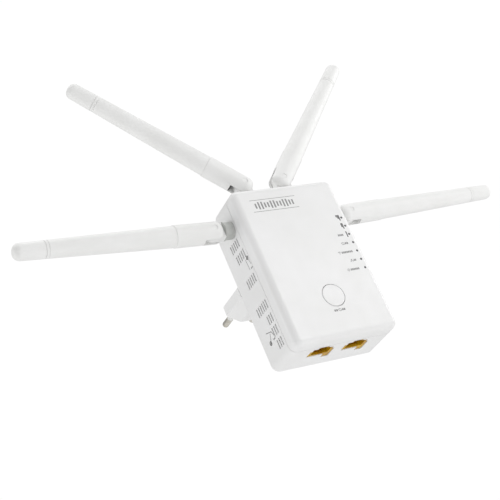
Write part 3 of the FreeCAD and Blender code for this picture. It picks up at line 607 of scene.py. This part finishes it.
def hinge_shade_pad(name, material):
    """Ribbed black pad at the end of the hinge slot of an antenna: painted shade, a dark piece put where
    the hinge gap lies in shadow.
    """
    pivot, along = antenna_axis(name)
    side = along.cross(Y).normalized()
    half_wide, half_thick, back = 5.7, 2.6, 6.25
    ribs, rib_pitch = 11, 1.1
    outline = [(-half_wide, back), (half_wide, back)]
    outline += [(((ribs - 1) / 2 - i) * rib_pitch, 5.85 if i % 2 else 5.55) for i in range(ribs)]
    mesh = bmesh.new()
    faces = []
    for depth in (-half_thick, half_thick):
        faces.append([mesh.verts.new(pivot + (side * across + along * out + Y * depth) * MM)
                      for across, out in outline])
        mesh.faces.new(faces[-1])
    count = len(outline)
    for i in range(count):
        j = (i + 1) % count
        mesh.faces.new((faces[0][i], faces[0][j], faces[1][j], faces[1][i]))
    pad = finish_mesh("hinge_shade_pad_" + name, mesh, material, "antenna_" + name)


# ---- stage --------------------------------------------------------------------------------

def pale_floor():
    """Wide pale floor, half a metre below the part."""
    mesh = bmesh.new()
    bmesh.ops.create_grid(mesh, x_segments=8, y_segments=8, size=40.0)
    bmesh.ops.translate(mesh, verts=mesh.verts, vec=-0.5 * Z)
    data = bpy.data.meshes.new("floor")
    mesh.to_mesh(data)
    mesh.free()
    material = new_material("floor_paper", (0.86, 0.86, 0.86), 0.7)
    vary(material, (0.84, 0.84, 0.84), 1.5, 0.05)
    data.materials.append(material)
    floor = bpy.data.objects.new("floor", data)
    bpy.context.scene.collection.objects.link(floor)


def white_world():
    """Even white surroundings, less than half as bright as light than as background."""
    world = bpy.data.worlds.new("studio")
    world.use_nodes = True
    tree = world.node_tree
    seen = tree.nodes["Background"]
    light = tree.nodes.new("ShaderNodeBackground")
    for node, strength in ((seen, 1.02), (light, 0.44)):
        node.inputs["Color"].default_value = (1, 1, 1, 1)
        node.inputs["Strength"].default_value = strength
    rays = tree.nodes.new("ShaderNodeLightPath")
    mix = tree.nodes.new("ShaderNodeMixShader")
    tree.links.new(rays.outputs["Is Camera Ray"], mix.inputs["Fac"])
    tree.links.new(light.outputs["Background"], mix.inputs[1])
    tree.links.new(seen.outputs["Background"], mix.inputs[2])
    tree.links.new(mix.outputs["Shader"], tree.nodes["World Output"].inputs["Surface"])
    bpy.context.scene.world = world


def soft_light(name, direction, distance, size, power):
    """Square area light that looks at the case from a direction, and that the camera doesn't see."""
    lamp = bpy.data.lights.new(name, "AREA")
    lamp.size = size
    lamp.energy = power
    holder = bpy.data.objects.new(name, lamp)
    target = Vector((case_middle, cover_low.y, (cover_low.z + cover_high.z) / 2))
    toward = Vector(direction).normalized()
    holder.location = target + toward * distance
    holder.rotation_euler = toward.to_track_quat("Z", "Y").to_euler()
    holder.visible_camera = False
    bpy.context.scene.collection.objects.link(holder)


def overhead_light():
    """Very soft light from straight above, which keeps the floor pale."""
    lamp = bpy.data.lights.new("overhead", "SUN")
    lamp.energy = 1.4
    lamp.angle = 1.2
    bpy.context.scene.collection.objects.link(bpy.data.objects.new("overhead", lamp))


def studio_lights():
    """Light from above, a key from the front, and one light from each side."""
    overhead_light()
    soft_light("key", (0.50, -0.85, 0.15), 1.1, 0.7, 3.6)
    soft_light("left", (-0.85, 0.50, 0.10), 1.0, 0.6, 2.1)
    soft_light("right", (1.0, -0.1, 0.25), 0.75, 0.4, 1.0)


def camera():
    """Camera below and to the left of the front, rolled so that the case leans to the right."""
    right = Vector((0.8517, -0.3754, -0.3656)).normalized()
    back = Vector((-0.5087, -0.7600, -0.4046)).normalized()
    up = back.cross(right).normalized()
    lens = bpy.data.cameras.new("camera")
    lens.sensor_width = 36.0
    lens.lens = 81.9
    lens.clip_start = 0.01
    holder = bpy.data.objects.new("camera", lens)
    turn = Matrix((right, up, back)).transposed().to_4x4()
    holder.matrix_world = Matrix.Translation((-0.3482, -0.5462, -0.2511)) @ turn
    bpy.context.scene.collection.objects.link(holder)
    bpy.context.scene.camera = holder


def main():
    materials = {make.__name__: make() for make in SURFACES}
    dress_frame(materials)
    dark = ink("ink_dark", (0.07, 0.07, 0.07))
    pale = ink("ink_pale", (0.23, 0.23, 0.23))
    front_mark(pale)
    light_marks(dark, pale)
    button_mark(pale)
    pinhole_marks(pale, dark)
    label_marks(pale)
    for side in ("left", "right"):
        contact_wires(side, materials["gold_contact"])
    # Black pads in the top hinge slots are painted shade of the hinge gaps.
    for name in ("top_left", "top_right"):
        hinge_shade_pad(name, materials["component_black"])
    pale_floor()
    white_world()
    studio_lights()
    camera()
    bpy.context.scene.view_settings.view_transform = "Standard"


main()
